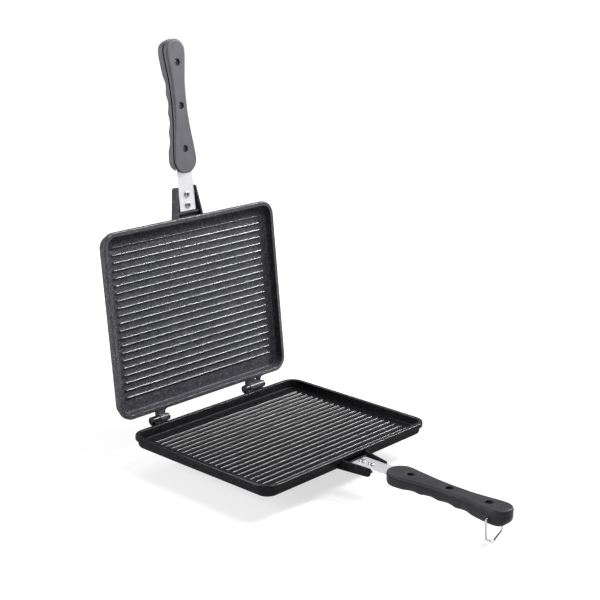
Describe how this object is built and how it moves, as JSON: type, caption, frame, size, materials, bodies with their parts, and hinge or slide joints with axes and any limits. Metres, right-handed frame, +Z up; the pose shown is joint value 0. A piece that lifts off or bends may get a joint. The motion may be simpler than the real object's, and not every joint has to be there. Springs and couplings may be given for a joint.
{
  "type": "double sided flip pan",
  "caption": "Double-sided griddle pan: ribbed cast halves hinged along the back, each with a steel tang and a two-piece moulded handle; a wire hanging loop swings under the lower handle.",
  "frame": {"origin": "centre of the lower half's flat underside", "axes": "+Z up out of the lower half's tray; +X along the hinge axis, to the right in the picture; +Y from the handles towards the hinge"},
  "size_m": [0.26, 0.4797, 0.4474],
  "materials": {
    "lower_coating": "cast aluminium under a dark speckled nonstick coating",
    "upper_coating": "cast aluminium under a charcoal speckled nonstick coating",
    "pin_steel": "darkened steel",
    "tang_steel": "satin stainless strip",
    "screw_steel": "zinc-plated screw",
    "lower_handle_resin": "moulded phenolic resin",
    "upper_handle_resin": "moulded phenolic resin",
    "wire_steel": "bright drawn wire"
  },
  "bodies": {
    "lower": {"lower_pan": "lower_coating", "left_hinge_pin": "pin_steel", "right_hinge_pin": "pin_steel", "lower_tang": "tang_steel", "lower_tang_screw_1": "screw_steel", "lower_tang_screw_2": "screw_steel", "lower_handle_body": "lower_handle_resin", "lower_handle_cover": "lower_handle_resin", "lower_handle_screw_1": "screw_steel", "lower_handle_screw_2": "screw_steel", "lower_handle_screw_3": "screw_steel"},
    "lid": {"upper_pan": "upper_coating", "upper_tang": "tang_steel", "upper_tang_screw_1": "screw_steel", "upper_tang_screw_2": "screw_steel", "upper_handle_body": "upper_handle_resin", "upper_handle_cover": "upper_handle_resin", "upper_handle_screw_1": "screw_steel", "upper_handle_screw_2": "screw_steel", "upper_handle_screw_3": "screw_steel"},
    "loop": {"hanging_loop": "wire_steel"}
  },
  "joints": [
    {"name": "lid_hinge", "type": "hinge", "parent": "lower", "child": "lid", "pos_m": [0, 0.11125, 0.01465], "axis": [1, 0, 0], "range_deg": [0, 97.4]},
    {"name": "loop_swing", "type": "hinge", "parent": "lower", "child": "loop", "pos_m": [0, -0.2817, 0.0033], "axis": [1, 0, 0], "range_deg": [-146, 66]}
  ]
}
